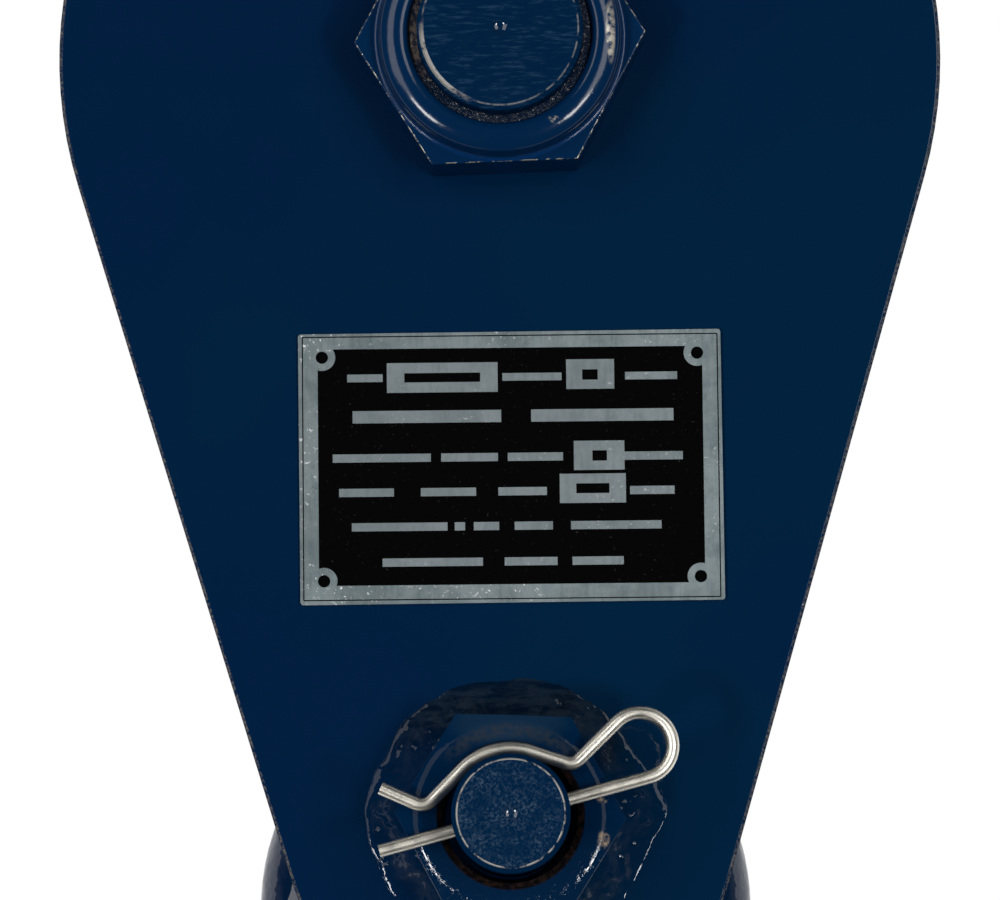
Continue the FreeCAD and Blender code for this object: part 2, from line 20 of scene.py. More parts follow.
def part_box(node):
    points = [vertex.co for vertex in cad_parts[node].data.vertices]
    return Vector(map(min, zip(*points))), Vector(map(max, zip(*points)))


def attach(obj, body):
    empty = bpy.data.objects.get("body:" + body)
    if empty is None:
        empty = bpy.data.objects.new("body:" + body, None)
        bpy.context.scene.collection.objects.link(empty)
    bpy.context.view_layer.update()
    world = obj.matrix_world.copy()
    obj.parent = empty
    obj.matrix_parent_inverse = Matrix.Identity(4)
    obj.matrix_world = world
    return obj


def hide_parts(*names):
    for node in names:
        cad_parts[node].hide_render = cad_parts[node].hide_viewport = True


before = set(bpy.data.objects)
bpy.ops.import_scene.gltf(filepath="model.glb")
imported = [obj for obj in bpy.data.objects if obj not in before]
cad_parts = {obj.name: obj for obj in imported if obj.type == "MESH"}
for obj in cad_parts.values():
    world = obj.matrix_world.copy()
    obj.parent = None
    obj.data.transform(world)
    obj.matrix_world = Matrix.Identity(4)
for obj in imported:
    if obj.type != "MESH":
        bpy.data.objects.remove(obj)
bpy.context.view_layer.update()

# %% [markdown]
# ## Places on the block
#
# Everything is in metres. The origin is the middle of the sheave, +Z comes out of the front
# plate and +Y points away from the head pin. The heights are read from the model, so they
# stay true if the model changes.

# %% Places read from the model
MM = 0.001
plate_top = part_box("front_side_plate")[1].z
rest_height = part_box("centre_pin")[0].z
boss_low, boss_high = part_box("head_boss")
boss_y = (boss_low.y + boss_high.y) / 2
rating_low, rating_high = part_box("rating_plate")
print("front plate at", round(plate_top, 4), "floor at", round(rest_height, 4),
      "boss axis at", round(boss_y, 4))

# %% [markdown]
# ## Camera
#
# The picture is taken from nearly straight above with a long lens, and the block lies turned by
# less than a degree in it. The lens stands over the narrow half, so the picture shows that half
# and cuts the nut through its middle. A constraint could aim the camera, but it wouldn't turn
# the picture by that hair. A camera is three directions and a place, so the matrix is written
# from them: the way it looks, the picture's right and the picture's top.

# %% Camera above the block
aim = Vector((-1.03, -78.5, 31.0)) * MM
eye = Vector((-2.36, -174.5, 951.0)) * MM
picture_top = Vector((0.0138, 0.9999, 0.0))

camera_data = bpy.data.cameras.new("camera")
camera_data.sensor_width = 36.0
camera_data.lens = 171.8
camera = bpy.data.objects.new("camera", camera_data)
look = (aim - eye).normalized()
right = look.cross(picture_top).normalized()
camera.matrix_world = Matrix((right, right.cross(look), -look)).transposed().to_4x4()
camera.location = eye
bpy.context.scene.collection.objects.link(camera)
bpy.context.scene.camera = camera
print("camera is", round((aim - eye).length, 3), "m from the plate")

# %% [markdown]
# ## Node helpers
#
# A material is a small tree of nodes. These helpers add a node, set its sockets and wire it
# in one line, so that the cells below read as a list of what the finish is made of.

# %% Helpers for node trees
def add(tree, kind, settings=None, **sockets):
    """New node; a socket named Base_Color takes a value or the output of another node."""
    made = tree.nodes.new(kind)
    for name, value in (settings or {}).items():
        setattr(made, name, value)
    for name, value in sockets.items():
        wire(tree, value, made.inputs[name.replace("_", " ")])
    return made


def wire(tree, value, socket):
    """Feed a socket from another socket, or set it to a plain value."""
    if isinstance(value, bpy.types.NodeSocket):
        tree.links.new(value, socket)
    else:
        socket.default_value = value


def maths(tree, operation, first, second=0.0, clamp=False):
    """Output of a Math node."""
    made = tree.nodes.new("ShaderNodeMath")
    made.operation = operation
    made.use_clamp = clamp
    wire(tree, first, made.inputs[0])
    wire(tree, second, made.inputs[1])
    return made.outputs[0]


def blend(tree, share, first, second):
    """Colour that goes from the first to the second as share goes from 0 to 1."""
    made = tree.nodes.new("ShaderNodeMix")
    made.data_type = "RGBA"
    for place, value in ((0, share), (6, first), (7, second)):
        wire(tree, value, made.inputs[place])
    return made.outputs[2]


def ramp(tree, value, low, high, to_low=0.0, to_high=1.0):
    """Value stretched from one range to another, with soft ends."""
    made = add(tree, "ShaderNodeMapRange", {"interpolation_type": "SMOOTHSTEP"}, Value=value)
    made.inputs["From Min"].default_value = low
    made.inputs["From Max"].default_value = high
    made.inputs["To Min"].default_value = to_low
    made.inputs["To Max"].default_value = to_high
    return made.outputs[0]


def grey(level):
    """Opaque grey of one level."""
    return (level, level, level, 1.0)


print("helpers", add.__name__, maths.__name__, blend.__name__, ramp.__name__)


# %% [markdown]
# ## Floor and backdrop
#
# The block lies on a white sheet. A plain white floor under lamps is never quite white, and the
# picture's background is. So for the rays that see it, those of the camera, of mirrors and of
# glass, the floor is a darker sheet that glows. For the light that falls on the block it is a
# plain white sheet that lights nothing by itself, and the faint shadow of the block stays.

# %% White floor
def new_material(name):
    """Material with an empty tree."""
    made = bpy.data.materials.new(name)
    made.use_nodes = True
    made.node_tree.nodes.clear()
    return made, made.node_tree


def finish(tree, shader):
    """Connect a shader to the material's output."""
    output = tree.nodes.new("ShaderNodeOutputMaterial")
    tree.links.new(shader.outputs[0], output.inputs["Surface"])


FLOOR_GREY = 0.8
SEEN_GREY = 0.26
GLOW = 0.88

floor_material, tree = new_material("white_floor")
rays = add(tree, "ShaderNodeLightPath")
seen = maths(tree, "ADD", rays.outputs["Is Camera Ray"], rays.outputs["Is Glossy Ray"])
seen = maths(tree, "ADD", seen, rays.outputs["Is Transmission Ray"], clamp=True)
plain = add(tree, "ShaderNodeBsdfDiffuse", Color=grey(FLOOR_GREY))
shaded = add(tree, "ShaderNodeBsdfDiffuse", Color=grey(SEEN_GREY))
glow = add(tree, "ShaderNodeEmission", Color=grey(1.0), Strength=GLOW)
lit = tree.nodes.new("ShaderNodeAddShader")
tree.links.new(shaded.outputs[0], lit.inputs[0])
tree.links.new(glow.outputs[0], lit.inputs[1])
choice = add(tree, "ShaderNodeMixShader", Fac=seen)
tree.links.new(plain.outputs[0], choice.inputs[1])
tree.links.new(lit.outputs[0], choice.inputs[2])
finish(tree, choice)


def object_from(mesh_tool, name, material):
    """Finished mesh object at the origin, made from a bmesh."""
    mesh = bpy.data.meshes.new(name)
    mesh_tool.to_mesh(mesh)
    mesh_tool.free()
    mesh.materials.append(material)
    made = bpy.data.objects.new(name, mesh)
    bpy.context.scene.collection.objects.link(made)
    return made


floor_half_side = 6.0
sheet = bmesh.new()
bmesh.ops.create_grid(sheet, x_segments=1, y_segments=1, size=floor_half_side,
                      matrix=Matrix.Translation((0, 0, rest_height)))
floor = object_from(sheet, "floor", floor_material)
print("floor at", round(rest_height, 3))

# %% [markdown]
# ## Light
#
# The shadows in the picture tell where the light comes from. The nut throws one to its right
# and one to its left, equally dark and soft-edged, so the light stands on both sides. The
# gloss tells more. Each side of the nut's collar mirrors a wide grey patch above and a short
# white streak below: a large softbox and a small lamp on each side. The table gives each
# lamp's direction in degrees, its length and width in metres, and its level: the light that it
# gives on the plate, where 1 in all would show a colour as it is written. Its power is worked
# out from that.
#
# The world is a studio with grey walls and a dark ceiling. The walls light the flanks, and
# the dark ceiling keeps a grey haze off the glossy paint, which mirrors what is above it.

# %% Lamps and a studio room
LAMP_DISTANCE = 2.2
LAMPS = [
    ("softbox_left", 162, 53, 1.60, 0.95, 0.245),
    ("softbox_right", 18, 62, 1.20, 0.80, 0.245),
    ("small_lamp_left", 211, 55, 0.50, 0.28, 0.225),
    ("small_lamp_right", -27, 60, 0.50, 0.28, 0.225),
]


def softbox(name, azimuth_deg, elevation_deg, length, width, level):
    """Rectangular lamp that faces the block; length lies level and width stands up."""
    azimuth = math.radians(azimuth_deg)
    elevation = math.radians(elevation_deg)
    away = Vector((math.cos(elevation) * math.cos(azimuth),
                   math.cos(elevation) * math.sin(azimuth), math.sin(elevation)))
    data = bpy.data.lights.new(name, "AREA")
    data.shape = "RECTANGLE"
    data.size = length
    data.size_y = width
    data.energy = level * (math.pi * LAMP_DISTANCE) ** 2 / math.sin(elevation)
    lamp = bpy.data.objects.new(name, data)
    turn = away.to_track_quat("Z", "Y").to_matrix().to_4x4()
    lamp.matrix_world = Matrix.Translation(aim + away * LAMP_DISTANCE) @ turn
    lamp.visible_camera = False
    bpy.context.scene.collection.objects.link(lamp)


for lamp_values in LAMPS:
    softbox(*lamp_values)

WALL_LIGHT = 0.26
CEILING_LIGHT = 0.03
WALL_TOP = 0.45
room = bpy.data.worlds.new("studio_room")
room.use_nodes = True
room.node_tree.nodes.clear()
way = add(room.node_tree, "ShaderNodeTexCoord")
height = add(room.node_tree, "ShaderNodeSeparateXYZ", Vector=way.outputs["Generated"])
walls = ramp(room.node_tree, height.outputs["Z"], 0.0, WALL_TOP, WALL_LIGHT, CEILING_LIGHT)
backdrop = add(room.node_tree, "ShaderNodeBackground", Color=grey(1.0), Strength=walls)
room_output = room.node_tree.nodes.new("ShaderNodeOutputWorld")
room.node_tree.links.new(backdrop.outputs[0], room_output.inputs["Surface"])
bpy.context.scene.world = room
bpy.context.scene.view_settings.view_transform = "Standard"
print("lamps", [lamp.name for lamp in bpy.data.lights])

# %% [markdown]
# ## Effects that several finishes share
#
# Sprayed paint has a skin like an orange's. Handled metal has specks where the paint is gone.
# Turned and rolled metal has fine lines. Several finishes below need the same effect with
# other sizes, so each is a node group with named inputs, made once. Two more groups say where
# an effect lies: in a ring about an axis, or in a soft spot. A group puts out only values:
# what they mean, a bump or a change of colour, is decided in each material.

# %% Group for the skin of sprayed paint
def new_group(name, inputs, outputs):
    """Empty group with its input and output nodes."""
    group = bpy.data.node_groups.new(name, "ShaderNodeTree")
    for label, value in inputs.items():
        socket = group.interface.new_socket(label, in_out="INPUT", socket_type="NodeSocketFloat")
        socket.default_value = value
    for label in outputs:
        group.interface.new_socket(label, in_out="OUTPUT", socket_type="NodeSocketFloat")
    return group, group.nodes.new("NodeGroupInput"), group.nodes.new("NodeGroupOutput")


def noise_at(tree, scale, detail=2.0, roughness=0.5, vector=None):
    """Noise over the piece's own coordinates."""
    if vector is None:
        vector = add(tree, "ShaderNodeTexCoord").outputs["Object"]
    made = add(tree, "ShaderNodeTexNoise", Vector=vector, Scale=scale, Detail=detail,
               Roughness=roughness)
    return made.outputs[0]


paint_skin, given, result = new_group("paint_skin", {"Peel Scale": 620.0, "Run Scale": 90.0,
                                                     "Run Share": 0.5}, ("Height", "Drift"))
peel = noise_at(paint_skin, given.outputs["Peel Scale"], 1.0)
runs = noise_at(paint_skin, given.outputs["Run Scale"], 2.0)
height = maths(paint_skin, "MULTIPLY", runs, given.outputs["Run Share"])
wire(paint_skin, maths(paint_skin, "ADD", peel, height), result.inputs["Height"])
wire(paint_skin, noise_at(paint_skin, 14.0, 3.0), result.inputs["Drift"])
print("group", paint_skin.name)

# %% [markdown]
# Specks are noise cut off at a threshold, so that only its peaks are left. A lower threshold
# leaves more of them, and the softness says how sharp their edges are.

# %% Group for specks
specks, given, result = new_group("specks", {"Scale": 1500.0, "Threshold": 0.55,
                                             "Softness": 0.08}, ("Mask",))
pattern = noise_at(specks, given.outputs["Scale"], 4.0, 0.6)
above = maths(specks, "SUBTRACT", pattern, given.outputs["Threshold"])
wire(specks, maths(specks, "DIVIDE", above, given.outputs["Softness"], clamp=True),
     result.inputs["Mask"])
print("group", specks.name)

# %% [markdown]
# The round zone is 1 between two distances from an upright axis on the block's middle line.
# It is worked out from the piece's own coordinates, so it needs no unwrapping.

# %% Group for a round zone about an axis
round_zone, given, result = new_group("round_zone", {"Axis Y": 0.0, "Inner": 0.01,
                                                     "Outer": 0.02, "Blur": 0.0004}, ("Mask",))
place = add(round_zone, "ShaderNodeSeparateXYZ",
            Vector=add(round_zone, "ShaderNodeTexCoord").outputs["Object"])
across = maths(round_zone, "SUBTRACT", place.outputs["Y"], given.outputs["Axis Y"])
radius = maths(round_zone, "SQRT", maths(
    round_zone, "ADD", maths(round_zone, "POWER", place.outputs["X"], 2.0),
    maths(round_zone, "POWER", across, 2.0)))
past_inner = maths(round_zone, "DIVIDE", maths(
    round_zone, "SUBTRACT", radius, given.outputs["Inner"]), given.outputs["Blur"], clamp=True)
past_outer = maths(round_zone, "DIVIDE", maths(
    round_zone, "SUBTRACT", given.outputs["Outer"], radius), given.outputs["Blur"], clamp=True)
wire(round_zone, maths(round_zone, "MULTIPLY", past_inner, past_outer), result.inputs["Mask"])
print("group", round_zone.name)

# %% [markdown]
# The soft spot is an oval that fades out towards its edge, for wear that has one place.

# %% Group for a soft spot
spot, given, result = new_group("spot", {"Spot X": 0.0, "Spot Y": 0.0, "Reach X": 0.01,
                                         "Reach Y": 0.01}, ("Mask",))
place = add(spot, "ShaderNodeSeparateXYZ",
            Vector=add(spot, "ShaderNodeTexCoord").outputs["Object"])
share_x = maths(spot, "DIVIDE", maths(spot, "SUBTRACT", place.outputs["X"],
                                      given.outputs["Spot X"]), given.outputs["Reach X"])
share_y = maths(spot, "DIVIDE", maths(spot, "SUBTRACT", place.outputs["Y"],
                                      given.outputs["Spot Y"]), given.outputs["Reach Y"])
away = maths(spot, "ADD", maths(spot, "POWER", share_x, 2.0), maths(spot, "POWER", share_y, 2.0))
wire(spot, ramp(spot, away, 0.25, 1.0, 1.0, 0.0), result.inputs["Mask"])
print("group", spot.name)

# %% [markdown]
# Fine lines are noise too, on coordinates that are stretched far more in one direction than in
# another. The small number is the direction that the lines follow.

# %% Group for fine lines
fine_lines, given, result = new_group("fine_lines", {"Along X": 60.0, "Along Y": 60.0,
                                                     "Along Z": 60.0}, ("Lines",))
stretch = add(fine_lines, "ShaderNodeCombineXYZ", X=given.outputs["Along X"],
              Y=given.outputs["Along Y"], Z=given.outputs["Along Z"])
stretched = add(fine_lines, "ShaderNodeVectorMath", {"operation": "MULTIPLY"})
wire(fine_lines, add(fine_lines, "ShaderNodeTexCoord").outputs["Object"], stretched.inputs[0])
wire(fine_lines, stretch.outputs[0], stretched.inputs[1])
wire(fine_lines, noise_at(fine_lines, 1.0, 4.0, 0.6, stretched.outputs[0]),
     result.inputs["Lines"])


def placed(tree, group, **sockets):
    """Node that stands for a group in a material."""
    made = tree.nodes.new("ShaderNodeGroup")
    made.node_tree = group
    for name, value in sockets.items():
        wire(tree, value, made.inputs[name.replace("_", " ")])
    return made


print("group", fine_lines.name, "is the last of", len(bpy.data.node_groups))

# %% [markdown]
# ## Navy gloss paint
#
# Nearly every piece was sprayed together in one deep navy. Gloss paint is colour under a clear
# mirror-like skin, which is what the shader's coat does: a rough base and a smooth coat. One
# glossy shader alone would be either a mirror or matt. The paint skin group bends the coat a
# little, so that a lamp's reflection breaks up in it. The share of coat is less than a full
# one, because this paint is thin and a little hazy.
#
# One function makes each kind of navy. The plates have dull cut edges with bare chips and a
# scraped rim, the forged shackle has larger runs, and the weld is dull with dust on its upper
# side, and further up has dark streaks and a pale painted sheen.

# %% Navy paint in its kinds
NAVY = (0.0003, 0.0142, 0.0530, 1.0)
NAVY_GREEN = (0.0002, 0.0172, 0.0510, 1.0)
NAVY_BRIGHT = (0.0004, 0.0230, 0.0780, 1.0)
BARE_STEEL = (0.42, 0.41, 0.39, 1.0)
SCRAPED = (0.15, 0.14, 0.125, 1.0)
# Dark streaks and a pale painted sheen for the upper part of the weld bead.
DARK_STREAK_BEAD = (0.0012, 0.0035, 0.0075, 1.0)
PALE_SHEEN_BEAD = (0.0110, 0.0190, 0.0270, 1.0)
COAT_SHARE = 0.6
SMOOTH_COAT = 0.03
DUST_FADE = 9.0 * MM
DUST_MOST = 0.5
STREAK_AND_SHEEN_START = 9.0 * MM
STREAK_AND_SHEEN_FULL = 24.0 * MM
STREAK_AND_SHEEN_MOST = 0.68


def bump(tree, height, depth):
    """Normal from a height that goes from 0 to 1 over a depth in metres."""
    return add(tree, "ShaderNodeBump", Strength=1.0, Distance=depth, Height=height).outputs[0]


def glossy_paint(tree, colour, normal, roughness=0.5, metallic=0.0, coat=1.0,
                 coat_rough=SMOOTH_COAT):
    """Paint shader: a matt base under a thin clear coat."""
    if isinstance(coat, bpy.types.NodeSocket):
        coat_weight = maths(tree, "MULTIPLY", coat, COAT_SHARE)
    else:
        coat_weight = coat * COAT_SHARE
    shader = add(tree, "ShaderNodeBsdfPrincipled", Base_Color=colour, Roughness=roughness,
                 Metallic=metallic, Coat_Weight=coat_weight, Normal=normal)
    shader.inputs["Coat Roughness"].default_value = coat_rough
    shader.inputs["Specular IOR Level"].default_value = 0.0
    wire(tree, normal, shader.inputs["Coat Normal"])
    return shader


def levelness(tree):
    """Z of the surface's normal: 1 on a level face that looks up, 0 on an upright one."""
    facing = add(tree, "ShaderNodeNewGeometry").outputs["Normal"]
    return add(tree, "ShaderNodeSeparateXYZ", Vector=facing).outputs["Z"]


def cut_edge(tree):
    """Mask of the faces that don't lie level, such as a flame-cut edge or a chamfer."""
    return ramp(tree, maths(tree, "ABSOLUTE", levelness(tree)), 0.975, 0.9995, 1.0, 0.0)


def dusted(tree, high_y, low_y, most):
    """Share that dust leaves of something: 1 below low_y and 1 less most above high_y."""
    place = add(tree, "ShaderNodeTexCoord").outputs["Object"]
    y = add(tree, "ShaderNodeSeparateXYZ", Vector=place).outputs["Y"]
    return ramp(tree, y, low_y, high_y, 1.0, 1.0 - most)


def round_edge(tree):
    """Mask of the narrow rounding between a level face and an upright one."""
    level = levelness(tree)
    return maths(tree, "MULTIPLY", ramp(tree, level, 0.15, 0.35),
                 ramp(tree, level, 0.94, 0.99, 1.0, 0.0))


def navy(name, depth=0.02 * MM, dull_edge=False, coat=1.0, dust_y=None, **skin):
    """Kind of navy paint; above dust_y it loses gloss, further up it has streaks and painted
    sheen.
    """
    material, tree = new_material(name)
    skin_node = placed(tree, paint_skin, **skin)
    colour = blend(tree, ramp(tree, skin_node.outputs["Drift"], 0.35, 0.65), NAVY, NAVY_GREEN)
    normal = bump(tree, skin_node.outputs["Height"], depth)
    metallic = 0.0
    if dust_y is not None:
        coat = dusted(tree, dust_y, dust_y - DUST_FADE, DUST_MOST)
        # Further up the bead: dark streaks and a pale painted sheen, mixed into the paint
        # colour.
        streaks = placed(tree, fine_lines, Along_X=110.0, Along_Y=480.0, Along_Z=200.0)
        streaks_and_sheen = blend(tree, ramp(tree, streaks.outputs[0], 0.42, 0.58), DARK_STREAK_BEAD, PALE_SHEEN_BEAD)
        streaks_and_sheen_share = maths(tree, "SUBTRACT", 1.0,
                      dusted(tree, dust_y + STREAK_AND_SHEEN_FULL, dust_y + STREAK_AND_SHEEN_START, STREAK_AND_SHEEN_MOST))
        colour = blend(tree, streaks_and_sheen_share, colour, streaks_and_sheen)
    if dull_edge:
        edge = cut_edge(tree)
        chips = placed(tree, specks, Scale=520.0, Threshold=0.72, Softness=0.02)
        metallic = maths(tree, "MULTIPLY", edge, chips.outputs[0])
        frayed = placed(tree, specks, Scale=1500.0, Threshold=0.40, Softness=0.28)
        scraped = maths(tree, "MULTIPLY", frayed.outputs[0], round_edge(tree))
        colour = blend(tree, scraped, colour, SCRAPED)
        colour = blend(tree, metallic, colour, BARE_STEEL)
        coat = maths(tree, "SUBTRACT", 1.0, edge)
    finish(tree, glossy_paint(tree, colour, normal, 0.5, metallic, coat))
    return material


navy_plate = navy("navy_plate", dull_edge=True)
navy_forged = navy("navy_forged", 0.12 * MM, coat=1.6, Peel_Scale=500.0, Run_Scale=160.0,
                   Run_Share=2.5)
navy_bead_with_sheen = navy("navy_bead_with_sheen", 0.13 * MM, dust_y=boss_y - 2.0 * MM, Peel_Scale=620.0,
                 Run_Scale=190.0, Run_Share=2.0)
print("made", navy_plate.name, navy_forged.name, navy_bead_with_sheen.name)

# %% [markdown]
# ## Worn paint and painted glints on the pins and the nut
#
# The ends of both pins took knocks before and after they were painted. The face of the head
# pin is mottled with pale dust, and the rim of each pin is rubbed to bright metal. On the
# centre pin the rim is brighter at the lower left, a painted glint of the lamp there. The
# centre pin's face still shows the level strokes of the saw. The zones are rings about each
# pin's axis, so a ring mask and a speck mask multiplied give wear just where hands and
# spanners reach. Wear could be painted on too, but masks worked out from coordinates need no
# unwrapping and stay sharp close up. Spot masks add a bare patch on the right of the collar's
# crest, a painted glint of the lamp on that side, and the scuff below it, and the nut's edges
# are nicked where a spanner slipped. Where paint pooled round the collar's foot it is painted
# brighter, a painted sheen of the light in that fillet.

# %% Worn navy with painted glints and sheen
DUST = (0.105, 0.165, 0.235, 1.0)
STROKE = (0.030, 0.080, 0.150, 1.0)
POOLED_SHEEN = (0.0008, 0.036, 0.150, 1.0)
# Bare metal of the nut's wear, also used for its painted glint.
RUBBED_AND_GLINT_NUT = (0.47, 0.44, 0.38, 1.0)
NUT_COAT_ROUGH = 0.13
MARK_RADIUS = 1.8 * MM
MARK_GLOSS = 0.65
FROM_AXIS = -1.0 * MM
FAR_OUT = 1.0


def bare_rim(tree, axis_y, inner, outer, threshold):
    """Mask of a ring of chips about a pin's axis."""
    ring = placed(tree, round_zone, Axis_Y=axis_y, Inner=inner, Outer=outer, Blur=0.15 * MM)
    chips = placed(tree, specks, Scale=420.0, Threshold=threshold, Softness=0.12)
    return maths(tree, "MULTIPLY", ring.outputs[0], chips.outputs[0])


def rubbed(tree, x, y, reach_x, reach_y, threshold=0.42):
    """Mask of a spot with a broken edge."""
    patch = placed(tree, spot, Spot_X=x, Spot_Y=y, Reach_X=reach_x, Reach_Y=reach_y)
    grain = placed(tree, specks, Scale=900.0, Threshold=threshold, Softness=0.2)
    return maths(tree, "MULTIPLY", patch.outputs[0], grain.outputs[0])


def dull_chamfer(tree, axis_y, flat_radius):
    """Mask of the sloping faces outside the flat end of a pin, where the paint is thin."""
    outside = placed(tree, round_zone, Axis_Y=axis_y, Inner=flat_radius, Outer=FAR_OUT,
                     Blur=0.05 * MM)
    return maths(tree, "MULTIPLY", cut_edge(tree), outside.outputs[0])


def worn_finish(tree, colour, height, worn, bare=BARE_STEEL, dull=0.0, mark_y=None,
                coat_rough=SMOOTH_COAT):
    """Paint with bare metal where worn is 1, and without its gloss where dull is 1.

    mark_y is the y of a pin's axis whose centre mark keeps all of its gloss."""
    colour = blend(tree, worn, colour, bare)
    normal = bump(tree, maths(tree, "SUBTRACT", height, worn), 0.02 * MM)
    coat = maths(tree, "SUBTRACT", 1.0, maths(tree, "MAXIMUM", worn, dull))
    if mark_y is not None:
        mark = placed(tree, round_zone, Axis_Y=mark_y, Inner=FROM_AXIS, Outer=MARK_RADIUS,
                      Blur=0.2 * MM)
        coat = maths(tree, "ADD", coat,
                     maths(tree, "MULTIPLY", mark.outputs[0], MARK_GLOSS))
    finish(tree, glossy_paint(tree, colour, normal, 0.45, worn, coat, coat_rough))


head_pin_flat = 10.1 * MM
pin_navy, tree = new_material("worn_head_pin")
skin_node = placed(tree, paint_skin, Peel_Scale=900.0, Run_Share=0.8)
face = placed(tree, round_zone, Axis_Y=boss_y, Inner=FROM_AXIS, Outer=head_pin_flat)
dust = placed(tree, specks, Scale=2100.0, Threshold=0.46, Softness=0.22)
cloud = ramp(tree, noise_at(tree, 260.0, 3.0), 0.32, 0.68, 0.08, 0.46)
dusty = maths(tree, "MULTIPLY", maths(tree, "MULTIPLY", face.outputs[0], dust.outputs[0]), cloud)
colour = blend(tree, dusty, blend(tree, skin_node.outputs["Drift"], NAVY, NAVY_GREEN), DUST)
rim = bare_rim(tree, boss_y, head_pin_flat - 0.25 * MM, head_pin_flat + 0.2 * MM, 0.42)
worn_finish(tree, colour, skin_node.outputs["Height"], rim,
            dull=dull_chamfer(tree, boss_y, head_pin_flat), mark_y=boss_y)

centre_flat = 15.1 * MM
centre_navy, tree = new_material("worn_centre_pin_with_painted_glint")
skin_node = placed(tree, paint_skin, Peel_Scale=700.0, Run_Share=0.8)
lines = placed(tree, fine_lines, Along_X=300.0, Along_Y=2000.0, Along_Z=300.0)
stroke = ramp(tree, lines.outputs[0], 0.50, 0.70, 0.0, 0.36)
colour = blend(tree, stroke, blend(tree, skin_node.outputs["Drift"], NAVY, NAVY_GREEN), STROKE)
height = maths(tree, "ADD", skin_node.outputs["Height"], stroke)
rim = bare_rim(tree, 0.0, centre_flat - 0.35 * MM, centre_flat + 0.1 * MM, 0.42)
# Painted glint: a wider ring of bare chips, strongest in a spot at the lower left, stands for
# the lamp's glint on the rim.
lower_left_glint_chips = bare_rim(tree, 0.0, centre_flat - 0.6 * MM, centre_flat + 0.4 * MM, 0.36)
lower_left_glint_spot = placed(tree, spot, Spot_X=-12.0 * MM, Spot_Y=-8.0 * MM, Reach_X=8.0 * MM,
               Reach_Y=11.0 * MM)
rim = maths(tree, "MAXIMUM", maths(tree, "MULTIPLY", rim, 0.4),
            maths(tree, "MULTIPLY", lower_left_glint_chips, lower_left_glint_spot.outputs[0]))
worn_finish(tree, colour, height, rim, dull=dull_chamfer(tree, 0.0, centre_flat), mark_y=0.0)

nut_navy, tree = new_material("worn_nut_with_painted_glint_and_sheen")
skin_node = placed(tree, paint_skin, Peel_Scale=600.0, Run_Share=0.8)
# Painted sheen: a brighter blue ring where paint pooled round the collar's foot.
pooled_sheen_ring = placed(tree, round_zone, Axis_Y=0.0, Inner=23.3 * MM, Outer=24.6 * MM, Blur=0.8 * MM)
colour = blend(tree, skin_node.outputs["Drift"], NAVY, NAVY_BRIGHT)
colour = blend(tree, maths(tree, "MULTIPLY", pooled_sheen_ring.outputs[0], 0.7), colour, POOLED_SHEEN)
# Painted glint: this bare patch on the right of the collar's crest stands for the lamp's
# reflection there.
patch = rubbed(tree, 21.2 * MM, 0.0, 1.1 * MM, 7.0 * MM, 0.38)
scuff = rubbed(tree, 10.2 * MM, -17.2 * MM, 1.5 * MM, 0.8 * MM, 0.50)
chips = bare_rim(tree, 0.0, 20.5 * MM, 21.4 * MM, 0.68)
hexagon = placed(tree, round_zone, Axis_Y=0.0, Inner=24.2 * MM, Outer=FAR_OUT,
                 Blur=0.1 * MM)
nicks = placed(tree, specks, Scale=760.0, Threshold=0.49, Softness=0.05)
nicked = maths(tree, "MULTIPLY", maths(tree, "MULTIPLY", round_edge(tree), hexagon.outputs[0]),
               nicks.outputs[0])
worn = maths(tree, "MAXIMUM", maths(tree, "MAXIMUM", patch, scuff), chips)
worn = maths(tree, "MAXIMUM", worn, nicked)
worn_finish(tree, colour, skin_node.outputs["Height"], worn, RUBBED_AND_GLINT_NUT,
            coat_rough=NUT_COAT_ROUGH)
print("made", pin_navy.name, centre_navy.name, nut_navy.name)

# %% [markdown]
# ## Boss with a rusty mouth
#
# The boss was sprayed with the rest, but the paint doesn't reach into its bore. There the
# steel has rusted to a dark brown. The ring mask picks out the bore, and specks break its
# edge up so that it doesn't look printed. Round the mouth the paint is lumpy with drips, and
# two crusts of slag show through on the right. The upper side is mottled with overspray,
# paler with a painted sheen, and dull, so the lamps glint only in the lumps below.

# %% Navy boss with rust in its bore
rust_radius = 14.2 * MM
RUST = (0.028, 0.017, 0.014, 1.0)
RUST_DARK = (0.006, 0.005, 0.006, 1.0)
OVERSPRAY = (0.019, 0.031, 0.052, 1.0)
# Paler, greyer blue of a painted sheen on the boss's upper face.
UPPER_SHEEN_BOSS = (0.0065, 0.0260, 0.0600, 1.0)
SLAG = (0.34, 0.27, 0.20, 1.0)
BOSS_COAT = 1.6
DRIP_HEIGHT = 2.3

boss_navy_with_sheen, tree = new_material("boss_navy_with_sheen")
skin_node = placed(tree, paint_skin, Peel_Scale=560.0, Run_Share=1.2)
bore = placed(tree, round_zone, Axis_Y=boss_y, Inner=FROM_AXIS, Outer=rust_radius,
              Blur=0.5 * MM)
grain = placed(tree, specks, Scale=900.0, Threshold=0.42, Softness=0.2)
rust = blend(tree, grain.outputs[0], RUST_DARK, RUST)
mouth = placed(tree, round_zone, Axis_Y=boss_y, Inner=14.4 * MM, Outer=18.0 * MM,
               Blur=1.2 * MM)
misty = maths(tree, "MULTIPLY", mouth.outputs[0],
              rubbed(tree, 0.5 * MM, boss_y + 15.0 * MM, 17.0 * MM, 9.0 * MM, 0.34))
colour = blend(tree, skin_node.outputs["Drift"], NAVY, NAVY_GREEN)
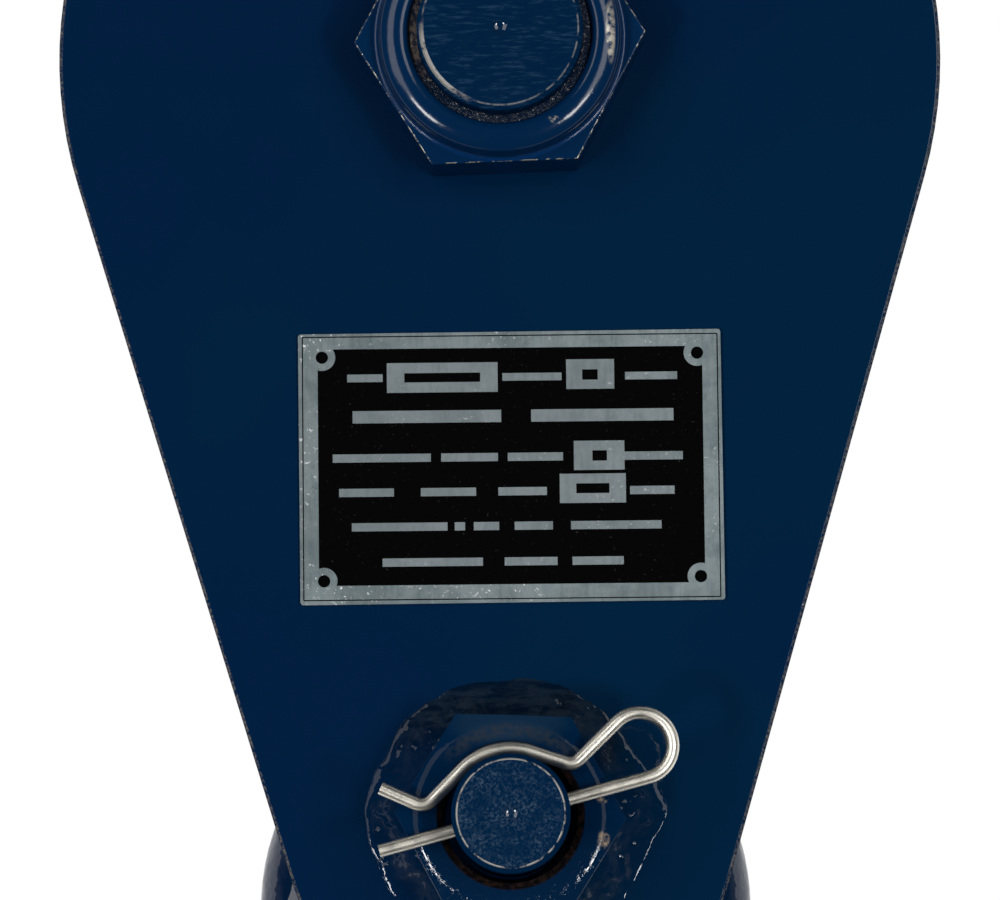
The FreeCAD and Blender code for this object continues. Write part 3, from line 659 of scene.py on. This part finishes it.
# Painted sheen: a soft spot makes the upper face of the boss paler and greyer.
upper_sheen_spot = placed(tree, spot, Spot_Y=boss_y + 17.5 * MM, Reach_X=13.0 * MM, Reach_Y=5.5 * MM)
colour = blend(tree, upper_sheen_spot.outputs[0], colour, UPPER_SHEEN_BOSS)
colour = blend(tree, misty, colour, OVERSPRAY)
colour = blend(tree, bore.outputs[0], colour, rust)
slag = maths(tree, "MAXIMUM",
             rubbed(tree, 17.3 * MM, boss_y + 3.0 * MM, 1.3 * MM, 1.2 * MM, 0.42),
             rubbed(tree, 17.4 * MM, boss_y - 4.6 * MM, 1.4 * MM, 2.2 * MM, 0.42))
colour = blend(tree, slag, colour, SLAG)
matt = maths(tree, "MAXIMUM", bore.outputs[0], slag)
rough = ramp(tree, matt, 0.0, 1.0, 0.5, 0.85)
gloss_left = dusted(tree, boss_y - 2.0 * MM, boss_y - 9.0 * MM, 0.86)
coat = maths(tree, "MULTIPLY", maths(tree, "SUBTRACT", 1.0, matt),
             maths(tree, "MULTIPLY", gloss_left, BOSS_COAT))
drip_ring = placed(tree, round_zone, Axis_Y=boss_y, Inner=14.6 * MM, Outer=21.0 * MM,
                   Blur=1.0 * MM)
drips = placed(tree, specks, Scale=760.0, Threshold=0.5, Softness=0.4)
lumps = maths(tree, "MULTIPLY", maths(tree, "MULTIPLY", drips.outputs[0],
                                      drip_ring.outputs[0]), DRIP_HEIGHT)
lumps = maths(tree, "MULTIPLY", lumps, gloss_left)
pitted = maths(tree, "MULTIPLY", grain.outputs[0], matt)
height = maths(tree, "ADD", maths(tree, "ADD", skin_node.outputs["Height"], pitted), lumps)
finish(tree, glossy_paint(tree, colour, bump(tree, height, 0.03 * MM), rough, 0.0, coat))
print("rust out to", round(rust_radius, 4))

# %% [markdown]
# ## Bare metals
#
# The hairpin is bright zinc plate, the rating plate is rolled aluminium, the bushing and the
# washers are bronze, and the washer under the pin's head is oiled steel. A metal has no
# colour of its own under a coat: its base colour tints what it mirrors. So they differ in
# tint, in roughness and in the direction of their fine lines. The rating plate is handled, so
# it is blotchy too, with bright scratches in patches.

# %% Bare metals
SCRATCH_GREY = 0.9


def metal(name, light, dark, roughness, lines, depth=0.004 * MM, spark=0.0):
    """Metal whose tint and height follow fine lines; spark adds blotches and bright specks."""
    material, tree = new_material(name)
    drawn = placed(tree, fine_lines, Along_X=lines[0], Along_Y=lines[1], Along_Z=lines[2])
    shade = ramp(tree, drawn.outputs[0], 0.3, 0.7)
    if spark:
        blotch = ramp(tree, noise_at(tree, 110.0, 4.0, 0.7), 0.38, 0.64, 0.0, 1.0)
        shade = maths(tree, "ADD", maths(tree, "MULTIPLY", shade, 0.5),
                      maths(tree, "MULTIPLY", blotch, 0.5))
    colour = blend(tree, shade, dark, light)
    rough = ramp(tree, drawn.outputs[0], 0.3, 0.7, roughness + 0.08, roughness - 0.06)
    if spark:
        bright = placed(tree, specks, Scale=1100.0, Threshold=0.61, Softness=0.05)
        handled = ramp(tree, noise_at(tree, 60.0, 3.0), 0.47, 0.62, 0.0, spark)
        share = maths(tree, "MULTIPLY", bright.outputs[0], handled)
        colour = blend(tree, share, colour, grey(SCRATCH_GREY))
    shader = add(tree, "ShaderNodeBsdfPrincipled", Base_Color=colour, Roughness=rough,
                 Metallic=1.0, Normal=bump(tree, drawn.outputs[0], depth))
    finish(tree, shader)
    return material


zinc = metal("zinc_plate", (0.80, 0.77, 0.69, 1), (0.70, 0.67, 0.59, 1), 0.38, (300, 300, 300),
             0.001 * MM)
aluminium = metal("rolled_aluminium", (0.265, 0.31, 0.325, 1), (0.125, 0.16, 0.17, 1), 0.46,
                  (900, 160, 400), 0.006 * MM, 0.8)
bronze = metal("turned_bronze", (0.72, 0.50, 0.24, 1), (0.45, 0.29, 0.13, 1), 0.36,
               (150, 150, 1800))
steel = metal("oiled_steel", (0.45, 0.44, 0.42, 1), (0.22, 0.21, 0.20, 1), 0.35,
              (300, 300, 1500))
print("metals", zinc.name, aluminium.name, bronze.name, steel.name)

# %% [markdown]
# ## Plastic ring of the lock nut
#
# The ring that locks the thread was sprayed over with the nut, and the thread tore the paint
# when the nut was turned on. What shows is a band of glossy crumbs, torn to a dull brown on
# its left side. The crumbs are too small to model one by one, so specks give them their
# colour and their height.

# %% Speckled lock ring
RING_PAINT = (0.003, 0.010, 0.028, 1)
RING_TORN = (0.120, 0.095, 0.080, 1)
RING_SPECK = (0.36, 0.35, 0.33, 1)
RING_COAT_ROUGH = 0.12

ring_plastic, tree = new_material("speckled_lock_ring")
torn = placed(tree, spot, Spot_X=-15.0 * MM, Spot_Y=3.0 * MM, Reach_X=16.0 * MM,
              Reach_Y=14.0 * MM)
grain = placed(tree, specks, Scale=900.0, Threshold=0.40, Softness=0.2)
brown = maths(tree, "MULTIPLY", torn.outputs[0], grain.outputs[0])
colour = blend(tree, brown, RING_PAINT, RING_TORN)
silver = placed(tree, specks, Scale=1500.0, Threshold=0.63, Softness=0.05)
colour = blend(tree, silver.outputs[0], colour, RING_SPECK)
crumbs = placed(tree, specks, Scale=1100.0, Threshold=0.45, Softness=0.2)
normal = bump(tree, crumbs.outputs[0], 0.16 * MM)
finish(tree, glossy_paint(tree, colour, normal, 0.5, silver.outputs[0],
                          maths(tree, "SUBTRACT", 1.0, brown), RING_COAT_ROUGH))
print("made", ring_plastic.name)

# %% [markdown]
# ## Sheave
#
# The sheave runs between the plates and shows from the side. It is painted too, but the rope
# has polished its groove. The wear follows the distance from the axis, as it does on a pin.

# %% Sheave paint with a rubbed groove
WORN_GROOVE = (0.33, 0.32, 0.31, 1)
groove_outer = 74.0 * MM
groove_inner = 50.0 * MM

sheave_paint, tree = new_material("sheave_paint")
skin_node = placed(tree, paint_skin, Run_Share=1.2)
groove = placed(tree, round_zone, Axis_Y=0.0, Inner=groove_inner, Outer=groove_outer,
                Blur=1.5 * MM)
deep = add(tree, "ShaderNodeSeparateXYZ",
           Vector=add(tree, "ShaderNodeTexCoord").outputs["Object"])
off_middle = maths(tree, "ABSOLUTE", deep.outputs["Z"])
narrow = ramp(tree, off_middle, 9.5 * MM, 11.0 * MM, 1.0, 0.0)
scuffs = placed(tree, specks, Scale=260.0, Threshold=0.36, Softness=0.12)
worn = maths(tree, "MULTIPLY", maths(tree, "MULTIPLY", groove.outputs[0], narrow),
             scuffs.outputs[0])
colour = blend(tree, worn, NAVY, WORN_GROOVE)
coat = maths(tree, "SUBTRACT", 1.0, worn)
normal = bump(tree, skin_node.outputs["Height"], 0.03 * MM)
finish(tree, glossy_paint(tree, colour, normal, 0.4, worn, coat))
print("made", sheave_paint.name)

# %% [markdown]
# ## Dress the CAD pieces
#
# The shapes that the CAD model has right stay, and take a finish: one table says which.

# %% Finishes for the CAD pieces
FINISHES = {
    "front_side_plate": navy_plate, "rear_side_plate": navy_plate, "head_boss": boss_navy_with_sheen,
    "rear_boss": boss_navy_with_sheen, "sheave": sheave_paint, "bronze_bushing": bronze,
    "front_thrust_washer": bronze, "rear_thrust_washer": bronze, "head_washer": steel,
    "centre_pin": centre_navy, "grease_fitting": zinc, "centre_lock_nut": nut_navy,
    "lock_nut_insert": ring_plastic, "head_pin": pin_navy, "hairpin_clip": zinc,
    "rating_plate": aluminium, "shackle_bow": navy_forged, "shackle_pin": navy_forged,
}
for node, material in FINISHES.items():
    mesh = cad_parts[node].data
    mesh.materials.clear()
    mesh.materials.append(material)
print("dressed", len(FINISHES), "pieces")

# %% [markdown]
# ## Rolled collar of the lock nut
#
# The collar was rolled over the plastic ring, and paint fills its corners, so it has a broad
# shoulder and a hollow foot that a turned solid leaves sharp. Its outline is four Bezier
# curves from the foot over the crest to the lip, as radius and height in millimetres. A bevel
# would round the corners with arcs only, and these curves swell and hollow. Spun about the
# axis, the outline lies like a skin on the collar of the CAD nut, a few tenths of a
# millimetre thick.

# %% Skin on the collar
collar_foot = plate_top + 14.5 * MM
COLLAR_CURVES = [
    ((24.2, 0.0), (23.6, 0.0), (23.45, 0.4), (23.4, 1.0)),
    ((23.4, 1.0), (23.4, 2.9), (23.2, 4.03), (22.6, 4.45)),
    ((22.6, 4.45), (22.0, 4.87), (21.1, 5.29), (20.3, 5.42)),
    ((20.3, 5.42), (19.2, 5.60), (17.5, 5.40), (17.5, 3.9)),
]
COLLAR_INSIDE = [(21.0, 3.2), (21.5, -0.3), (24.2, -0.3)]
CURVE_POINTS = 12
COLLAR_STEPS = 180

outline_points = []
for curve in COLLAR_CURVES:
    corners = [Vector((radius, 0, height)) for radius, height in curve]
    start_point, first_handle, second_handle, end_point = corners
    outline_points += interpolate_bezier(start_point, first_handle, second_handle,
                                         end_point, CURVE_POINTS)[:-1]
outline_points += [Vector((radius, 0, height)) for radius, height in [COLLAR_CURVES[-1][-1]]
                   + COLLAR_INSIDE]
collar = bmesh.new()
ring_verts = [collar.verts.new(point * MM + Vector((0, 0, collar_foot)))
              for point in outline_points]
for first, second in zip(ring_verts, ring_verts[1:] + ring_verts[:1]):
    collar.edges.new((first, second))
bmesh.ops.spin(collar, geom=collar.verts[:] + collar.edges[:], angle=2 * math.pi,
               steps=COLLAR_STEPS, axis=(0, 0, 1), cent=(0, 0, 0), use_merge=True)
bmesh.ops.recalc_face_normals(collar, faces=collar.faces)
for face in collar.faces:
    face.smooth = True
collar_piece = object_from(collar, "nut_collar_skin", nut_navy)
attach(collar_piece, "frame")
print("collar faces", len(collar_piece.data.polygons))

# %% [markdown]
# ## Weld round the boss
#
# A weld bead is molten metal laid in a path, one small puddle on the last. It slopes from the
# boss's wall down to a foot that wanders and sags, with drips of paint on it. The bead starts
# as a circle that is spun about the axis, which gives a smooth ring. Then each point moves
# outwards to the hexagon's wall and up to the slope, and noise makes the foot wander and the
# back ripple. The points are moved and not made, so the ring stays closed, which a row of
# separate puddles would not. Each sag is an angle, a width in degrees and a depth.

# %% Lumpy weld beads
boss_flat = 38.0 * MM
boss_turn_deg = -2.5
bead_radius = 26.4 * MM
bead_height = 5.6 * MM
bead_sink = 0.6 * MM
ripple_pitch = 3.6 * MM
foot_wander = 0.9 * MM
wall_overlap = 1.0 * MM
SAGS = [(4, 16, 3.8 * MM), (62, 20, 1.0 * MM), (122, 20, 1.4 * MM), (176, 26, 1.5 * MM)]
BEAD_STEPS = 420
BEAD_SECTION_POINTS = 44
START_RING = 3.0
WANDER_SIZE = 3.1
LUMP_MM = 6.0
DRIP_MM = 1.5
DRIP_LEVEL = 0.28
SLOPE_POWER = 1.6
BACK_FULLNESS = 0.9
LUMP_SHARE = 0.16
RIPPLE_CURVE = 4.5
RIPPLE_STRAY = 6
RIPPLE_BASE = 0.6
RIPPLE_RISE = 0.12 * MM
LUMP_RISE = 0.6 * MM
DRIP_RISE = 1.8 * MM
NOISE_APART = 40


def wall_distance(angle):
    """Distance from the boss's axis to its hexagonal wall, at an angle."""
    side = math.radians(60)
    off_corner = (angle - math.radians(boss_turn_deg)) % side - side / 2
    return boss_flat / 2 / math.cos(off_corner)


def foot_distance(angle, wander):
    """Distance from the boss's axis to the bead's foot, with the places where it sagged."""
    distance = bead_radius + foot_wander * wander
    for middle_deg, width_deg, depth in SAGS:
        off = (math.degrees(angle) - middle_deg + 180) % 360 - 180
        distance += depth * math.exp(-(off / width_deg) ** 2)
    return distance


def weld_bead(name, foot, up, body, node, span_deg=360.0):
    """Bead round the boss from its foot on a plate; up is 1 or -1 for the way it stands.

    A bead that spans less than a full turn has its gap on the side of the slot."""
    tool = bmesh.new()
    section = bmesh.ops.create_circle(tool, segments=BEAD_SECTION_POINTS, radius=1.0)["verts"]
    bmesh.ops.rotate(tool, verts=section, matrix=Matrix.Rotation(math.pi / 2, 3, "X"))
    bmesh.ops.translate(tool, verts=section, vec=(START_RING, 0, 0))
    start = -math.radians(span_deg / 2)
    bmesh.ops.rotate(tool, verts=section, matrix=Matrix.Rotation(start, 3, "Z"))
    closed = span_deg == 360.0
    bmesh.ops.spin(tool, geom=tool.verts[:] + tool.edges[:], angle=math.radians(span_deg),
                   steps=BEAD_STEPS, axis=(0, 0, 1), cent=(0, 0, 0), use_merge=closed)
    if not closed:
        bmesh.ops.holes_fill(tool, edges=[edge for edge in tool.edges if edge.is_boundary])
    for vert in tool.verts:
        angle = math.atan2(vert.co.y, vert.co.x)
        across = (math.hypot(vert.co.x, vert.co.y) - START_RING + 1) / 2
        on_ring = Vector((math.cos(angle), math.sin(angle), up)) * WANDER_SIZE
        wander = noise.noise(on_ring * 1.3) + 0.3 * noise.noise(on_ring * 5.0)
        inner = wall_distance(angle) - wall_overlap
        radius = inner + across * (foot_distance(angle, wander) - inner)
        on_plate = Vector((math.cos(angle), math.sin(angle), 0)) * radius / MM
        on_plate.z = NOISE_APART * up
        lump = noise.noise(on_plate / LUMP_MM)
        drip = max(0.0, noise.noise(on_plate / DRIP_MM) - DRIP_LEVEL)
        travel = angle * bead_radius
        ripple = math.sin(2 * math.pi * travel / ripple_pitch + RIPPLE_CURVE * across
                          + RIPPLE_STRAY * wander)
        slope = max(1 - across, 0.0) ** SLOPE_POWER * (1 + BACK_FULLNESS * across)
        body_share = math.sin(math.pi * min(max(across, 0.0), 1.0))
        rise = bead_height * slope * (1 + LUMP_SHARE * lump)
        rise += body_share * (RIPPLE_RISE * ripple * (RIPPLE_BASE + wander) + LUMP_RISE * lump
                              + DRIP_RISE * drip)
        if vert.co.z < 1e-4:
            rise = -bead_sink
        vert.co = Vector((radius * math.cos(angle), boss_y + radius * math.sin(angle),
                          foot + up * rise))
    bmesh.ops.recalc_face_normals(tool, faces=tool.faces)
    for face in tool.faces:
        face.smooth = True
    bead = object_from(tool, name, navy_bead_with_sheen)
    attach(bead, body)
    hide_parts(node)
    print(name, "faces", len(bead.data.polygons))


rear_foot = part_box("rear_side_plate")[0].z
rear_span_deg = 284.0
weld_bead("boss_bead", plate_top, 1, "frame", "boss_weld")
weld_bead("rear_boss_bead", rear_foot, -1, "rear_cheek", "rear_boss_weld", rear_span_deg)

# %% [markdown]
# ## Print on the rating plate
#
# The plate is printed black, and the bare metal shows through as its border, its pads round
# the four holes, its boxes and its rows of bars. A mask in the metal's own material could draw
# all this, but slabs keep their edges sharp at any distance. Print is thin, so each part is a
# slab a few hundredths of a millimetre thick that sits on the metal.

# %% Print finishes
# This black is the print, and also the painted shade in the plate's holes.
ink_and_hole_shade, tree = new_material("black_print_and_hole_shade")
dust = placed(tree, specks, Scale=1800.0, Threshold=0.66, Softness=0.05)
colour = blend(tree, dust.outputs[0], grey(0.0022), grey(0.02))
shader = add(tree, "ShaderNodeBsdfPrincipled", Base_Color=colour, Roughness=0.55,
             Normal=bump(tree, dust.outputs[0], 0.01 * MM))
shader.inputs["Specular IOR Level"].default_value = 0.0
finish(tree, shader)
marks_silver = metal("print_silver", (0.23, 0.265, 0.28, 1), (0.16, 0.19, 0.20, 1), 0.5,
                     (800, 200, 400), 0.004 * MM, 0.25)
print("made", ink_and_hole_shade.name, marks_silver.name)

# %% [markdown]
# Each slab is a cube that a matrix stretches and puts in its place, so one bmesh can hold all
# the slabs of a colour. The field is the black one under the rest.

# %% Slabs of print
INK = 0.03 * MM
SUNK = 0.01 * MM
FIELD_SUNK = 0.1 * MM
LINE_SUNK = 0.05 * MM
PLATE_TURN_DEG = -0.2
rating_middle = (rating_low + rating_high) / 2
ink_top = rating_high.z + INK
mark_top = ink_top + INK
rating_turn = Matrix.Rotation(math.radians(PLATE_TURN_DEG), 4, "Z")


def slab(tool, left, right, bottom, top, low, high):
    """Thin box; its sides are in millimetres from the middle of the rating plate."""
    size = Matrix.Diagonal(((right - left) * MM, (top - bottom) * MM, high - low, 1))
    middle = Vector(((left + right) / 2 * MM, (bottom + top) / 2 * MM, (low + high) / 2))
    bmesh.ops.create_cube(tool, size=1.0, matrix=Matrix.Translation(middle) @ size)


def print_piece(tool, name, material, body="frame"):
    """Finished print: turned a hair, as the plate was set by hand, and put on the plate."""
    bmesh.ops.transform(tool, verts=tool.verts, matrix=rating_turn)
    bmesh.ops.translate(tool, verts=tool.verts, vec=(rating_middle.x, rating_middle.y, 0))
    piece = object_from(tool, name, material)
    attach(piece, body)
    return piece


field = bmesh.new()
field_left, field_right, field_bottom, field_top = -37.3, 37.3, -22.8, 23.2
slab(field, field_left, field_right, field_bottom, field_top, rating_high.z - FIELD_SUNK,
     ink_top)
field_piece = print_piece(field, "rating_field", ink_and_hole_shade)
print("black field in mm", field_right - field_left, "by", field_top - field_bottom)

# %% [markdown]
# The pads round the holes cut into the corners of the black field. A Boolean modifier takes
# four short cylinders out of the field, and its result replaces the mesh, so that no modifier
# stays on the piece.

# %% Pads round the holes
pad_radius = 2.6 * MM
cutter_depth = 1.0 * MM
hole_inset = 4.6 * MM
half_size = (rating_high - rating_low) / 2
hole_x = half_size.x - hole_inset
hole_y = half_size.y - hole_inset


def discs_at_holes(radius, height, depth, segments):
    """Four short cylinders about the middles of the plate's holes."""
    tool = bmesh.new()
    for side_x in (-1, 1):
        for side_y in (-1, 1):
            place = Matrix.Translation((rating_middle.x + side_x * hole_x,
                                        rating_middle.y + side_y * hole_y, height))
            bmesh.ops.create_cone(tool, cap_ends=True, segments=segments, radius1=radius,
                                  radius2=radius, depth=depth, matrix=place)
    return tool


cutter_piece = object_from(discs_at_holes(pad_radius, ink_top, cutter_depth, 48),
                           "pad_cutter", ink_and_hole_shade)


def cut_from(piece, tool_piece):
    """Take one piece out of another and keep the result as plain mesh."""
    cut = piece.modifiers.new("cut", "BOOLEAN")
    cut.operation = "DIFFERENCE"
    cut.object = tool_piece
    bpy.context.view_layer.update()
    whole = piece.evaluated_get(bpy.context.evaluated_depsgraph_get())
    result_mesh = bpy.data.meshes.new_from_object(whole)
    piece.modifiers.clear()
    piece.data = result_mesh
    bpy.data.objects.remove(tool_piece)


cut_from(field_piece, cutter_piece)
print("field faces", len(field_piece.data.polygons))

# %% [markdown]
# The holes are painted shade: a black disc stands in each, just above the paint below it.

# %% Painted shade in the holes
hole_shade_radius = 1.25 * MM
hole_shade_depth = 0.3 * MM
# Painted shade: each black disc stands for the shadow inside a hole.
hole_shade_discs = object_from(discs_at_holes(hole_shade_radius, plate_top, hole_shade_depth, 40), "rating_hole_shade", ink_and_hole_shade)
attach(hole_shade_discs, "frame")
print("faces of the dark discs", len(hole_shade_discs.data.polygons))

# %% [markdown]
# Each row is a height on the plate, a thickness and a list of bars with a start and an end,
# in millimetres from the middle. Four boxes of bare metal stand among them, each with a short
# dark bar in it. A box or a dark bar is its left, right, bottom and top.

# %% Bars and boxes
ROWS = [
    (17.5, 1.5, [(-31.6, -24.7), (-1.5, 10.0), (22.3, 32.4)]),
    (9.9, 2.4, [(-30.6, -1.8), (4.0, 31.6)]),
    (1.9, 1.6, [(-34.5, -15.5), (-13.5, -2.5), (-0.6, 10.1), (22.0, 33.3)]),
    (-4.8, 1.6, [(-33.3, -22.7), (-17.5, -6.8), (-2.5, 6.9), (23.0, 31.6)]),
    (-11.5, 1.6, [(-30.9, -12.4), (-11.0, -9.0), (-7.3, -2.4), (0.6, 8.0), (11.5, 29.0)]),
    (-18.4, 1.6, [(-25.0, -5.6), (-1.4, 8.8), (11.7, 21.6)]),
]
BOXES = [(-23.9, -2.4, 14.6, 20.4), (10.9, 20.2, 15.0, 20.8), (12.2, 22.0, -0.8, 4.9),
         (9.4, 22.2, -7.2, -1.5)]
STAMPS = [(-20.5, -5.8, 16.6, 18.4), (14.0, 17.0, 16.8, 18.8), (15.8, 18.6, 1.0, 3.0),
          (12.6, 19.0, -5.3, -3.4)]

marks = bmesh.new()
for middle, tall, bars in ROWS:
    for left, right_end in bars:
        slab(marks, left, right_end, middle - tall / 2, middle + tall / 2, ink_top - SUNK,
             mark_top)
for left, right_end, bottom, top in BOXES:
    slab(marks, left, right_end, bottom, top, ink_top - SUNK, mark_top)
print_piece(marks, "rating_marks", marks_silver)

stamps = bmesh.new()
for left, right_end, bottom, top in STAMPS:
    slab(stamps, left, right_end, bottom, top, mark_top - 2 * SUNK, mark_top + 2 * SUNK)
print_piece(stamps, "rating_stamps", ink_and_hole_shade)
print("rows of bars", len(ROWS), "boxes", len(BOXES))

# %% [markdown]
# A thin dark line runs round the plate just inside its edge, where the print ends.

# %% Outline of the plate
edge_inset = 0.75
line_width = 0.22
outline = bmesh.new()
half_x = half_size.x / MM - edge_inset
half_y = half_size.y / MM - edge_inset
for side in (-1, 1):
    level = side * half_y
    slab(outline, -half_x, half_x, level - line_width / 2, level + line_width / 2,
         rating_high.z - LINE_SUNK, ink_top)
    level = side * half_x
    slab(outline, level - line_width / 2, level + line_width / 2, -half_y, half_y,
         rating_high.z - LINE_SUNK, ink_top)
outline_piece = print_piece(outline, "rating_outline", ink_and_hole_shade)
print("faces of the outline", len(outline_piece.data.polygons))
